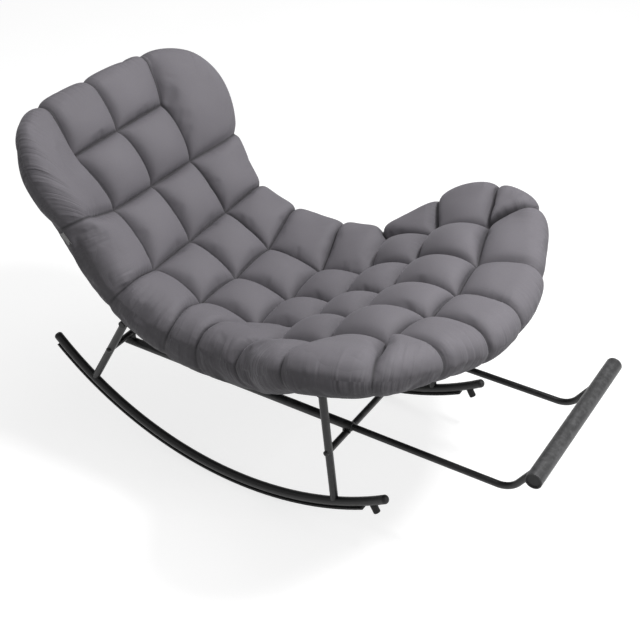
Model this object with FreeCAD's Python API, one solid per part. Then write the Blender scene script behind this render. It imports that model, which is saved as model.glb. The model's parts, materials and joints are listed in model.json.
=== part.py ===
import FreeCAD, Part
import math
import os

# Rocking chaise lounge: two bent-tube rockers with legs, cross tubes and a seat frame that carries one
# tufted cushion, and a foot bar on two rods that slide in guide sleeves under the seat.
# Millimetres, +Z up. +X points to the sitter's feet, +Y to the sitter's left.
# X = 0 is where the rocker arcs touch the floor at rest, Z = 0 is the floor, Y = 0 the centre plane.

V = FreeCAD.Vector
os.makedirs("parts", exist_ok=True)

# ---------------------------------------------------------------- driving dimensions
ROCKER_Y = 250.0          # half spacing of the rocker tubes
ROCKER_R = 760.4          # centre-line radius of the rocker arc
ROCKER_OD, ROCKER_WALL = 22.0, 1.5
ROCKER_BACK_DEG, ROCKER_FRONT_DEG = -44.6, 33.2
STRIP_T, STRIP_W, STRIP_GAP = 6.0, 18.0, 1.2
STRIP_BACK_DEG, STRIP_FRONT_DEG = -43.6, 28.0
STOP_DEG, STOP_D, STOP_LEN = 30.3, 17.0, 20.8
LEG_OD, LEG_WALL = 19.0, 1.5
FRONT_LEG_DEG, REAR_LEG_DEG = 22.12, -34.15
FRONT_BEARER = (251.2, 384.2)     # x, z of the front bearer tube's axis
REAR_BEARER = (-303.9, 363.5)
FRONT_CROSS = (268.5, 217.0)      # x, z of the front crossbar's axis
REAR_CROSS = (-359.8, 266.0)
CROSS_OD, CROSS_WALL = 16.0, 1.2
RAIL_Y = 150.0
RAIL_OD, RAIL_WALL = 19.0, 1.5
RAIL_PTS = [(-561.0, 706.5), (-522.0, 668.0), (-350.0, 430.0), (-205.0, 352.0), (-40.0, 325.0),
            (92.0, 340.0), (395.0, 489.0), (474.0, 490.8)]
RAIL_R = [90.0, 180.0, 200.0, 300.0, 260.0, 160.0]
SLEEVE_Y, SLEEVE_Z = 169.0, 239.0
SLEEVE_OD, SLEEVE_WALL = 22.0, 1.5
SLEEVE_X0, SLEEVE_X1 = -376.0, 283.0
ROD_OD, ROD_WALL = 16.0, 1.5
ROD_X0, ROD_X1 = 128.0, 678.0     # rear end of the rods, and the corner of their upward bend
ROD_BEND_R = 58.0
BAR_X, BAR_Z = 748.0, 343.0
BAR_OD, BAR_WALL, BAR_LEN = 38.0, 2.6, 466.0
LINER_LEN, LINER_CLEAR = 118.0, 0.06
BOLT_D = 6.0

ZC = STRIP_T + STRIP_GAP + ROCKER_OD / 2 + ROCKER_R     # height of the rocker arc's centre

# cushion: tuft rows on the centre plane, then the outline and rim of the developed sheet
K = 250.0 / 240.0
PROFILE = [(-548, 765), (-473, 690), (-383, 563), (-282, 448), (-144, 381), (-5, 364), (128, 394),
           (268, 472), (416, 522), (545, 520)]
# half outline of the cushion in the developed sheet: (distance along the profile, half width)
OUTLINE = [(-32.5, 0.0), (-32.5, 123.3), (-7.5, 246.6), (110.0, 345.8), (273.0, 315.8), (432.0, 298.4),
           (592.0, 307.4), (738.0, 316.2), (880.0, 345.2), (1047.0, 431.4), (1209.0, 417.4),
           (1339.1, 204.8), (1369.3, 108.0), (1378.5, 0.0)]
LATERAL = [(0, .000128), (110, .000223), (273, .000393), (592, .000543), (880, .000460), (1047, .000507),
           (1209, .000399), (1343.8, .000371)]      # rise = k * y^2 across the sheet
RIM_R = [(-60, 46.1), (300, 60.5), (700, 75.7), (1050, 49.5), (1450, 55.1)]     # radius of the rim roll
EDGE = [(-60, 35.8), (110, 24.1), (273, 10.6), (432, -3.0), (592, 10.0), (738, 22.0), (880, 2.1),
        (1047, -16.1), (1440, 30.2)]      # extra lift of the outer cells
PUFF = 45.5               # mean height of the cells over the tufts
UNDERS = [(0, 46.6), (110, 44.4), (273, 43.7), (432, 44.8), (592, 44.8), (738, 41.4), (880, 38.1), (960, 40.8),
          (1047, 44.0), (1209, 43.9), (1290, 44.6), (1343.8, 45.4)]     # depth of the underside below the tufts at the side rails
RECESS = 34.0             # width over which the rim roll turns back up to that underside


# ---------------------------------------------------------------- small numeric helpers
class Spline:
    """Natural cubic spline: value and slope."""

    def __init__(self, xs, ys):
        n = len(xs)
        h = [xs[i + 1] - xs[i] for i in range(n - 1)]
        a, b, c, d = [0.0] * n, [1.0] * n, [0.0] * n, [0.0] * n
        for i in range(1, n - 1):
            a[i], b[i], c[i] = h[i - 1], 2 * (h[i - 1] + h[i]), h[i]
            d[i] = 6 * ((ys[i + 1] - ys[i]) / h[i] - (ys[i] - ys[i - 1]) / h[i - 1])
        for i in range(1, n):
            w = a[i] / b[i - 1]
            b[i] -= w * c[i - 1]
            d[i] -= w * d[i - 1]
        m = [0.0] * n
        m[-1] = d[-1] / b[-1]
        for i in range(n - 2, -1, -1):
            m[i] = (d[i] - c[i] * m[i + 1]) / b[i]
        self.x, self.y, self.m = list(xs), list(ys), m

    def __call__(self, t):
        x, y, m = self.x, self.y, self.m
        i = 0
        while i < len(x) - 2 and t > x[i + 1]:
            i += 1
        h = x[i + 1] - x[i]
        p, q = (x[i + 1] - t) / h, (t - x[i]) / h
        v = p * y[i] + q * y[i + 1] + ((p ** 3 - p) * m[i] + (q ** 3 - q) * m[i + 1]) * h * h / 6
        g = (y[i + 1] - y[i]) / h - (3 * p * p - 1) / 6 * h * m[i] + (3 * q * q - 1) / 6 * h * m[i + 1]
        return v, g


class Pchip:
    """Shape-keeping cubic interpolation."""

    def __init__(self, pts):
        xs, ys = [p[0] for p in pts], [p[1] for p in pts]
        n = len(xs)
        h = [xs[i + 1] - xs[i] for i in range(n - 1)]
        k = [(ys[i + 1] - ys[i]) / h[i] for i in range(n - 1)]
        d = [0.0] * n
        for i in range(1, n - 1):
            if k[i - 1] * k[i] > 0:
                w1, w2 = 2 * h[i] + h[i - 1], h[i] + 2 * h[i - 1]
                d[i] = (w1 + w2) / (w1 / k[i - 1] + w2 / k[i])

        def end(h0, h1, k0, k1):
            e = ((2 * h0 + h1) * k0 - h0 * k1) / (h0 + h1)
            if e * k0 <= 0:
                return 0.0
            if k0 * k1 <= 0 and abs(e) > 3 * abs(k0):
                return 3 * k0
            return e
        d[0], d[-1] = end(h[0], h[1], k[0], k[1]), end(h[-1], h[-2], k[-1], k[-2])
        self.x, self.y, self.d = xs, ys, d

    def __call__(self, t):
        x, y, d = self.x, self.y, self.d
        t = min(max(t, x[0]), x[-1])
        i = 0
        while i < len(x) - 2 and t > x[i + 1]:
            i += 1
        h = x[i + 1] - x[i]
        u = (t - x[i]) / h
        return ((1 + 2 * u) * (1 - u) ** 2 * y[i] + u * (1 - u) ** 2 * h * d[i]
                + u * u * (3 - 2 * u) * y[i + 1] + u * u * (u - 1) * h * d[i + 1])


# ---------------------------------------------------------------- the cushion's base surface
_p = [(x * K, z * K) for x, z in PROFILE]
_s = [0.0]
for _i in range(1, len(_p)):
    _s.append(_s[-1] + math.hypot(_p[_i][0] - _p[_i - 1][0], _p[_i][1] - _p[_i - 1][1]))
S_END = _s[-1]
PX, PZ = Spline(_s, [q[0] for q in _p]), Spline(_s, [q[1] for q in _p])
KLAT = Pchip([(a, b / K) for a, b in LATERAL])
UNDER = Pchip(UNDERS)
RIM, EDGE_LIFT = Pchip(RIM_R), Pchip(EDGE)

# outline as a dense polyline: mirrored control points at both ends keep it square to the centre plane
_o = [(s, -y) for s, y in OUTLINE[4:0:-1]] + OUTLINE + [(s, -y) for s, y in OUTLINE[-2:-6:-1]]
_t = [0.0]
for _i in range(1, len(_o)):
    _t.append(_t[-1] + math.hypot(_o[_i][0] - _o[_i - 1][0], _o[_i][1] - _o[_i - 1][1]))
_os, _oy = Spline(_t, [q[0] for q in _o]), Spline(_t, [q[1] for q in _o])
_ta, _tb = _t[4], _t[4 + len(OUTLINE) - 1]
HALF = [(_os(_ta + (_tb - _ta) * i / 240.0)[0], _oy(_ta + (_tb - _ta) * i / 240.0)[0]) for i in range(241)]


def rim_distance(s, y):
    """Distance in the developed sheet from a point to the outline."""
    y = abs(y)
    best = 1e9
    for i in range(len(HALF) - 1):
        ax, ay = HALF[i]
        bx, by = HALF[i + 1]
        dx, dy = bx - ax, by - ay
        t = ((s - ax) * dx + (y - ay) * dy) / (dx * dx + dy * dy)
        t = min(max(t, 0.0), 1.0)
        e = (ax + t * dx - s) ** 2 + (ay + t * dy - y) ** 2
        if e < best:
            best = e
    return math.sqrt(best)


def half_width(s):
    for i in range(len(HALF) - 1):
        if HALF[i][0] <= s <= HALF[i + 1][0]:
            f = (s - HALF[i][0]) / max(HALF[i + 1][0] - HALF[i][0], 1e-9)
            return HALF[i][1] + f * (HALF[i + 1][1] - HALF[i][1])
    return 0.0


def sheet_point(s, y, h):
    """A point h above the tuft surface, at s along the profile and y across."""
    sc = min(max(s, 0.0), S_END)
    x, dx = PX(sc)
    z, dz = PZ(sc)
    n = math.hypot(dx, dz)
    tx, tz = dx / n, dz / n
    x += tx * (s - sc)
    z += tz * (s - sc)
    k = KLAT(sc)
    slope = 2 * k * y
    c = 1 / math.sqrt(1 + slope * slope)
    lift = k * y * y + h * c
    return V(x - tz * lift, y - h * slope * c, z + tx * lift)


def rim_heights(s, y, d):
    ro = RIM(s)
    q = min(max(d / ro, 0.0), 1.0)
    c = math.sqrt(max(0.0, 1 - (1 - q) ** 2)) * ro
    lift = EDGE_LIFT(s) * min(max((abs(y) - 150) / 130, 0.0), 1.2) ** 1.5
    r = min(max((d - ro) / RECESS, 0.0), 1.0)
    r = r * r * (3 - 2 * r)
    top = PUFF - ro + c + lift
    # between the rails the underside runs straight across, clear of the tubes and straps below it
    su = min(max(s, 0.0), S_END)
    flat = UNDER(su) - KLAT(su) * max(0.0, RAIL_Y ** 2 - y * y)
    under = PUFF - ro - c + lift + (2 * ro - PUFF - flat - lift) * r
    return top, under


# ---------------------------------------------------------------- solid helpers
def rod_between(p, q, r):
    d = q.sub(p)
    return Part.makeCylinder(r, d.Length, p, d)


def tube_between(p, q, od, wall):
    d = q.sub(p)
    e = V(d).normalize()
    bore = Part.makeCylinder(od / 2 - wall, d.Length + 4, p.sub(e * 2), d)
    return rod_between(p, q, od / 2).cut(bore)


def turned(points, base, axis):
    """Solid of revolution of a closed (radius, height) outline; points may hold ('arc', mid, end)."""
    edges, last = [], None
    first = None
    for p in points:
        if last is None:
            last = first = V(p[0], 0, p[1])
            continue
        if p[0] == "arc":
            mid, end = V(p[1][0], 0, p[1][1]), V(p[2][0], 0, p[2][1])
            edges.append(Part.Arc(last, mid, end).toShape())
            last = end
        else:
            end = V(p[0], 0, p[1])
            edges.append(Part.makeLine(last, end))
            last = end
    edges.append(Part.makeLine(last, first))
    face = Part.Face(Part.Wire(edges))
    solid = face.revolve(V(0, 0, 0), V(0, 0, 1), 360)
    solid.Placement = FreeCAD.Placement(base, FreeCAD.Rotation(V(0, 0, 1), axis))
    return solid


def path_wire(pts, radii, place):
    """Planar path of straight runs joined by tangent arcs; place maps (a, b) to 3D."""
    edges = []
    start = pts[0]
    for i in range(1, len(pts) - 1):
        p0, p1, p2 = pts[i - 1], pts[i], pts[i + 1]
        u = (p0[0] - p1[0], p0[1] - p1[1])
        w = (p2[0] - p1[0], p2[1] - p1[1])
        lu, lw = math.hypot(*u), math.hypot(*w)
        u, w = (u[0] / lu, u[1] / lu), (w[0] / lw, w[1] / lw)
        ang = math.acos(max(-1.0, min(1.0, u[0] * w[0] + u[1] * w[1])))
        turn = math.pi - ang
        r = radii[i - 1]
        tl = r * math.tan(turn / 2)
        a = (p1[0] + u[0] * tl, p1[1] + u[1] * tl)
        b = (p1[0] + w[0] * tl, p1[1] + w[1] * tl)
        bis = (u[0] + w[0], u[1] + w[1])
        lb = math.hypot(*bis)
        bis = (bis[0] / lb, bis[1] / lb)
        cd = r / math.sin(ang / 2)
        m = (p1[0] + bis[0] * (cd - r), p1[1] + bis[1] * (cd - r))
        edges.append(Part.makeLine(place(*start), place(*a)))
        edges.append(Part.Arc(place(*a), place(*m), place(*b)).toShape())
        start = b
    edges.append(Part.makeLine(place(*start), place(*pts[-1])))
    return Part.Wire(edges)


def swept(wire, r):
    e = wire.Edges[0]
    p0 = e.valueAt(e.FirstParameter)
    t0 = e.tangentAt(e.FirstParameter)
    ring = Part.Wire([Part.makeCircle(r, p0, t0)])
    s = wire.makePipeShell([ring], True, False)
    return s if s.ShapeType == "Solid" else Part.Solid(s.Shells[0])


def mirror_y(shape):
    return shape.mirror(V(0, 0, 0), V(0, 1, 0))


def one(shape):
    """The largest solid of a boolean result."""
    return sorted(shape.Solids, key=lambda s: -s.Volume)[0]


def save(name, shapes):
    shapes = shapes if isinstance(shapes, list) else [shapes]
    solids = []
    for s in shapes:
        solids += s.Solids
    for s in solids:
        if not s.isValid() or s.Volume <= 0:
            print("CHECK", name, s.isValid(), round(s.Volume, 1))
    out = solids[0] if len(solids) == 1 else Part.makeCompound(solids)
    out.exportStep("parts/%s.step" % name)
    NODES[name] = out
    return out


NODES = {}
RIGHT, LEFT = -1, 1


def arc_point(deg, dr=0.0, y=0.0):
    t = math.radians(deg)
    return V((ROCKER_R + dr) * math.sin(t), y, ZC - (ROCKER_R + dr) * math.cos(t))


def arc_out(deg):
    t = math.radians(deg)
    return V(math.sin(t), 0, -math.cos(t))


def arc_dir(deg):
    t = math.radians(deg)
    return V(math.cos(t), 0, math.sin(t))


def arc_ring(face, d0, d1, y):
    """Turns a face that stands at d0 degrees about the arc's centre to d1."""
    return face.revolve(V(0, y, ZC), V(0, -1, 0), d1 - d0)


# ---------------------------------------------------------------- rockers
def rocker_solid(y, r, d0, d1):
    p = arc_point(d0, 0, y)
    f = Part.Face(Part.Wire([Part.makeCircle(r, p, arc_dir(d0))]))
    return arc_ring(f, d0, d1, y)


def strip_section(d0, y, w, r0, r1, rnd):
    """Rounded rectangle across the arc: w wide, from radius r0 to r1."""
    o = arc_out(d0)
    c = V(0, y, ZC)

    def at(a, r):
        return c + o * r + V(0, a, 0)
    h = w / 2
    q = rnd * (1 - math.sqrt(0.5))
    pts = [at(-h, r0), at(-h, r1 - rnd), at(-h + q, r1 - q), at(-h + rnd, r1), at(h - rnd, r1),
           at(h - q, r1 - q), at(h, r1 - rnd), at(h, r0)]
    e = [Part.makeLine(pts[0], pts[1]), Part.Arc(pts[1], pts[2], pts[3]).toShape(),
         Part.makeLine(pts[3], pts[4]), Part.Arc(pts[4], pts[5], pts[6]).toShape(),
         Part.makeLine(pts[6], pts[7]), Part.makeLine(pts[7], pts[0])]
    return Part.Face(Part.Wire(e))


ri = ROCKER_OD / 2
SCREW_DEGS = [-41.0, -27.5, -14.0, 0.0 - 3.0, 11.5, 25.5]
caps, strips_screws, stop_screws = [], [], []
for side, word in ((RIGHT, "right"), (LEFT, "left")):
    y = side * ROCKER_Y
    outer = rocker_solid(y, ri, ROCKER_BACK_DEG, ROCKER_FRONT_DEG)
    tube = outer.cut(rocker_solid(y, ri - ROCKER_WALL, ROCKER_BACK_DEG - 0.3, ROCKER_FRONT_DEG + 0.3))
    # strip with a small boss at each screw, so that it stands a little off the tube
    r0, r1 = ROCKER_R + ri + STRIP_GAP, ROCKER_R + ri + STRIP_GAP + STRIP_T
    strip = arc_ring(strip_section(STRIP_BACK_DEG, y, STRIP_W, r0, r1, 1.6), STRIP_BACK_DEG,
                     STRIP_FRONT_DEG, y)
    for a in SCREW_DEGS:
        boss = Part.makeCylinder(5.0, 4.0, arc_point(a, ri - 2.2, y), arc_out(a))
        strip = strip.fuse(boss)
    strip = strip.cut(outer)
    # stop peg near the front end, square to the tube
    o, p = arc_out(STOP_DEG), arc_point(STOP_DEG, 0, y)
    peg = turned([(0, 6), (STOP_D / 2, 6), (STOP_D / 2, ri + STOP_LEN - 1.5),
                  ("arc", (STOP_D / 2 - 0.44, ri + STOP_LEN - 0.44), (STOP_D / 2 - 1.5, ri + STOP_LEN)),
                  (0, ri + STOP_LEN)], p, o)
    peg = peg.cut(outer)
    peg = peg.cut(Part.makeCylinder(2.3, 60, p, o)).cut(
        Part.makeCylinder(4.6, 20, p + o * (ri + STOP_LEN - 6.0), o))
    peg = one(peg)
    tube = tube.cut(Part.makeCylinder(2.0, 30, p, o))
    stop_screws.append(turned([(0, ri - 7), (1.9, ri - 7), (1.9, ri + STOP_LEN - 6.0), (4.2, ri + STOP_LEN - 6.0),
                               (4.2, ri + STOP_LEN - 4.4), ("arc", (3.0, ri + STOP_LEN - 3.4),
                                                           (0.6, ri + STOP_LEN - 3.0)), (0, ri + STOP_LEN - 3.0)],
                              p, o))
    for a in SCREW_DEGS:
        o, p = arc_out(a), arc_point(a, 0, y)
        strip = strip.cut(Part.makeCylinder(1.9, 30, p, o))
        strip = strip.cut(Part.makeCylinder(3.9, 12, p + o * (ri + STRIP_GAP + STRIP_T - 3.4), o))
        tube = tube.cut(Part.makeCylinder(1.6, 20, p, o))
        e = ri + STRIP_GAP + STRIP_T
        strips_screws.append(turned([(0, ri - 6), (1.5, ri - 6), (1.5, e - 3.4), (3.6, e - 3.4), (3.6, e - 2.2),
                                     ("arc", (2.4, e - 1.5), (0.6, e - 1.2)), (0, e - 1.2)], p, o))
    save(word + "_rocker_tube", one(tube))
    save(word + "_rocker_strip", one(strip))
    save(word + "_stop_peg", peg)
    for a, sgn in ((ROCKER_BACK_DEG, -1), (ROCKER_FRONT_DEG, 1)):
        rp = ri - ROCKER_WALL - 0.15
        caps.append(turned([(0, -13), (rp - 1.2, -13), (rp, -11), (rp, 0), (ri, 0), (ri, 2.2),
                            ("arc", (ri * 0.735, 7.6), (0.6, 9.6)), (0, 9.6)], arc_point(a, 0, y), arc_dir(a) * sgn))
save("rocker_end_caps", caps)
save("strip_screws", strips_screws)
save("stop_screws", stop_screws)

# ---------------------------------------------------------------- legs, bearers and crossbars
fb, rb = FRONT_BEARER, REAR_BEARER
legs = {}
front_bearer = tube_between(V(fb[0], -262, fb[1]), V(fb[0], 262, fb[1]), LEG_OD, LEG_WALL)
rear_bearer = tube_between(V(rb[0], -262, rb[1]), V(rb[0], 262, rb[1]), LEG_OD, LEG_WALL)
cross_bolts = []
holes = {"front_bearer": [], "rear_bearer": [], "rail": []}
for side, word in ((RIGHT, "right"), (LEFT, "left")):
    y = side * ROCKER_Y
    rocker_full = rocker_solid(y, ri, ROCKER_BACK_DEG, ROCKER_FRONT_DEG)
    for name, deg, top, cross in (("front", FRONT_LEG_DEG, fb, FRONT_CROSS), ("rear", REAR_LEG_DEG, rb, REAR_CROSS)):
        foot, head = arc_point(deg, 0, y), V(top[0], y, top[1])
        leg = tube_between(foot, head, LEG_OD, LEG_WALL)
        leg = leg.cut(rocker_full)
        leg = leg.cut(Part.makeCylinder(LEG_OD / 2, 60, head - V(0, 30, 0), V(0, 1, 0)))
        leg = one(leg)
        leg = leg.cut(Part.makeCylinder(BOLT_D / 2 + 0.25, 60, V(cross[0], y - 30, cross[1]), V(0, 1, 0)))
        save("%s_%s_leg" % (word, name), leg)
        legs[word, name] = rod_between(foot, head, LEG_OD / 2)
        # dome-headed bolt through the leg into the crossbar's end plug
        s = V(0, -side, 0)
        yo = y + side * (LEG_OD / 2 + 1.4)
        cross_bolts.append(turned([(0, -4.2), ("arc", (4.0, -2.9), (6.0, 0)), (6.0, 0.001), (BOLT_D / 2, 0.001),
                                   (BOLT_D / 2, 46), (0, 46)], V(cross[0], yo, cross[1]), s))
save("crossbar_bolts", cross_bolts)

# saddle washers between each bolt head and the round leg
saddles = []
for side in (RIGHT, LEFT):
    for name, cross in (("front", FRONT_CROSS), ("rear", REAR_CROSS)):
        y = side * ROCKER_Y
        a = V(cross[0], y + side * (LEG_OD / 2 - 4), cross[1])
        w = Part.makeCylinder(7.0, 5.4, a, V(0, side, 0)).cut(legs["right" if side < 0 else "left", name])
        w = w.cut(Part.makeCylinder(BOLT_D / 2 + 0.25, 20, a - V(0, side * 5, 0), V(0, side, 0)))
        saddles.append(one(w))
save("saddle_washers", saddles)

plugs = []
for nm, cross in (("front", FRONT_CROSS), ("rear", REAR_CROSS)):
    c = tube_between(V(cross[0], -ROCKER_Y, cross[1]), V(cross[0], ROCKER_Y, cross[1]), CROSS_OD, CROSS_WALL)
    for word in ("right", "left"):
        c = c.cut(legs[word, nm])
    save(nm + "_crossbar", one(c))
    for side in (RIGHT, LEFT):
        r = CROSS_OD / 2 - CROSS_WALL
        a = V(cross[0], side * (ROCKER_Y - LEG_OD / 2 - 3), cross[1])
        pl = Part.makeCylinder(r, 24, a, V(0, -side, 0)).cut(legs["right" if side < 0 else "left", nm])
        pl = pl.cut(Part.makeCylinder(BOLT_D / 2, 60, a + V(0, side * 10, 0), V(0, -side, 0)))
        plugs.append(one(pl))
save("crossbar_plugs", plugs)


# ---------------------------------------------------------------- seat frame
def rail_place(y):
    return lambda a, b: V(a, y, b)


def rail_normal(p, q):
    dx, dz = q[0] - p[0], q[1] - p[1]
    n = math.hypot(dx, dz)
    return V(-dz / n, 0, dx / n)


n_front = rail_normal(RAIL_PTS[5], RAIL_PTS[6])
n_rear = rail_normal(RAIL_PTS[2], RAIL_PTS[3])
bearer_bolts, rail_saddles = [], []
rail_outer = {}
bearer_holes = []
for side, word in ((RIGHT, "right"), (LEFT, "left")):
    wire = path_wire(RAIL_PTS, RAIL_R, rail_place(side * RAIL_Y))
    outer = swept(wire, RAIL_OD / 2)
    inner = swept(wire, RAIL_OD / 2 - RAIL_WALL)
    print("rail volume ratio", round(outer.Volume / (math.pi * RAIL_OD ** 2 / 4 * wire.Length), 4), outer.isValid())
    rail_outer[word] = outer
    rail = outer.cut(inner)
    for c, n, run in ((fb, n_front, 5), (rb, n_rear, 2)):
        base = V(c[0], side * RAIL_Y, c[1])
        rise = n.dot(V(RAIL_PTS[run][0], side * RAIL_Y, RAIL_PTS[run][1]) - base)     # bearer axis to rail axis
        hole = Part.makeCylinder(BOLT_D / 2 + 0.25, 70, base - n * 20, n)
        bearer_holes.append(hole)
        rail = rail.cut(Part.makeCylinder(BOLT_D / 2 + 0.05, 12, base + n * (rise - 12), n))
        # saddle block between the two round tubes
        along = V(n.z, 0, -n.x)
        block = Part.Face(Part.makePolygon([base + n * 3 + along * a + V(0, b, 0) for a, b in (
            (-9.5, -8), (9.5, -8), (9.5, 8), (-9.5, 8), (-9.5, -8))])).extrude(n * (rise - 6))
        block = block.cut(outer).cut(hole).cut(rod_between(V(c[0], -262, c[1]), V(c[0], 262, c[1]), LEG_OD / 2))
        rail_saddles.append(one(block))
        print("saddle", round(rise, 2), len(block.Solids), round(rail_saddles[-1].Volume))
        # bolt from below: head under the bearer, shank up into the rail's insert nut
        bearer_bolts.append(turned([(0, -4.4), ("arc", (4.0, -3.0), (6.0, 0)), (6.0, 0.001), (BOLT_D / 2, 0.001),
                                    (BOLT_D / 2, rise + 5), (0, rise + 5)], base - n * (LEG_OD / 2 + 0.02), n))
    save(word + "_side_rail", one(rail))
for h in bearer_holes:
    front_bearer = front_bearer.cut(h) if abs(h.BoundBox.Center.x - fb[0]) < 60 else front_bearer
    rear_bearer = rear_bearer.cut(h) if abs(h.BoundBox.Center.x - rb[0]) < 60 else rear_bearer
save("front_bearer", one(front_bearer))
save("rear_bearer", one(rear_bearer))
save("bearer_bolts", bearer_bolts)
save("rail_saddles", rail_saddles)

bearer_caps = []
for c in (fb, rb):
    for side in (RIGHT, LEFT):
        r = LEG_OD / 2 - LEG_WALL - 0.1
        bearer_caps.append(turned([(0, -10), (r, -10), (r, 0), (LEG_OD / 2, 0), (LEG_OD / 2, 1.4),
                                   ("arc", (LEG_OD / 2 - 0.7, 2.6), (LEG_OD / 2 - 2.0, 3.0)), (0, 3.2)],
                                  V(c[0], side * 262.0, c[1]), V(0, side, 0)))
save("bearer_end_caps", bearer_caps)

# cross tubes under the rails' ends, at the head and the foot
d0, d1 = rail_normal(RAIL_PTS[0], RAIL_PTS[1]), rail_normal(RAIL_PTS[-2], RAIL_PTS[-1])
tp, fp = RAIL_PTS[0], RAIL_PTS[-1]
under = RAIL_OD + 0.02
head_c = V(tp[0], 0, tp[1]) + V(d0.z, 0, -d0.x) * 16 - d0 * under
foot_c = V(fp[0], 0, fp[1]) - V(d1.z, 0, -d1.x) * 18 - d1 * under
cap2 = []
for nm, c in (("head_tube", head_c), ("foot_tube", foot_c)):
    half = RAIL_Y + 13.0
    t = tube_between(c - V(0, half, 0), c + V(0, half, 0), RAIL_OD, RAIL_WALL)
    save(nm, one(t))
    for side in (RIGHT, LEFT):
        r = RAIL_OD / 2 - RAIL_WALL - 0.1
        cap2.append(turned([(0, -10), (r, -10), (r, 0), (RAIL_OD / 2, 0), (RAIL_OD / 2, 1.4),
                            ("arc", (RAIL_OD / 2 - 0.7, 2.6), (RAIL_OD / 2 - 2.0, 3.0)), (0, 3.2)],
                           c + V(0, side * half, 0), V(0, side, 0)))
for side in (RIGHT, LEFT):
    for q, dn, sg in ((tp, d0, -1), (fp, d1, 1)):
        r = RAIL_OD / 2 - RAIL_WALL - 0.1
        cap2.append(turned([(0, -10), (r, -10), (r, 0), (RAIL_OD / 2, 0), (RAIL_OD / 2, 1.4),
                            ("arc", (RAIL_OD / 2 - 0.7, 2.6), (RAIL_OD / 2 - 2.0, 3.0)), (0, 3.2)],
                           V(q[0], side * RAIL_Y, q[1]), V(dn.z, 0, -dn.x) * sg))
save("frame_end_caps", cap2)

# side loops that hold up the wide front of the cushion
for side, word in ((RIGHT, "right"), (LEFT, "left")):
    e1 = V(n_front.z, 0, -n_front.x)
    b = math.radians(10)
    e2 = V(0, side * math.cos(b), 0) + n_front * math.sin(b)
    q = V(292, side * RAIL_Y, 340 + (292 - 92) * (489 - 340) / (395.0 - 92))

    def place(a, c, q=q, e1=e1, e2=e2):
        return q + e1 * a + e2 * c
    wire = path_wire([(-74, 0), (-52, 58), (50, 58), (72, 0)], [28, 28], place)
    loop = swept(wire, 7.0).cut(swept(wire, 5.8)).cut(rail_outer[word])
    save(word + "_side_loop", one(loop))


# woven straps across the rails: each follows the dish of the cushion and hooks round both rails
def strap(p, q, frac, width, sag):
    """p, q: ends of a straight run of the rail, frac: where along it, sag: dip at the centre plane."""
    t = V(q[0] - p[0], 0, q[1] - p[1])
    length = t.Length
    t.normalize()
    n = V(-t.z, 0, t.x)
    c = V(p[0], 0, p[1]) + t * (frac * length)
    ro_, th = RAIL_OD / 2 + 0.05, 1.8

    def at(yy, nn):
        return c + V(0, yy, 0) + n * nn - t * (width / 2)
    r_in, r_out = ro_, ro_ + th
    y0 = RAIL_Y
    e = []
    # upper face: dips from rail top to rail top
    e.append(Part.Arc(at(-y0, r_out), at(0, r_out - sag), at(y0, r_out)).toShape())
    e.append(Part.Arc(at(y0, r_out), at(y0 + r_out, 0), at(y0, -r_out)).toShape())
    e.append(Part.makeLine(at(y0, -r_out), at(y0, -r_in)))
    e.append(Part.Arc(at(y0, -r_in), at(y0 + r_in, 0), at(y0, r_in)).toShape())
    e.append(Part.Arc(at(y0, r_in), at(0, r_in - sag), at(-y0, r_in)).toShape())
    e.append(Part.Arc(at(-y0, r_in), at(-y0 - r_in, 0), at(-y0, -r_in)).toShape())
    e.append(Part.makeLine(at(-y0, -r_in), at(-y0, -r_out)))
    e.append(Part.Arc(at(-y0, -r_out), at(-y0 - r_out, 0), at(-y0, r_out)).toShape())
    s = Part.Face(Part.Wire(e)).extrude(t * width)
    for word in ("right", "left"):
        s = s.cut(rail_outer[word])
    return one(s)


R = RAIL_PTS
save("back_straps", [strap(R[1], R[2], f, 44, 2) for f in (0.27, 0.50, 0.74)])
save("seat_straps", [strap(R[2], R[3], 0.71, 40, 2), strap(R[3], R[4], 0.5, 44, 2),
                     strap(R[4], R[5], 0.5, 40, 2)])
save("front_straps", [strap(R[5], R[6], 0.17, 44, 2), strap(R[5], R[6], 0.735, 40, 2)])

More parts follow.
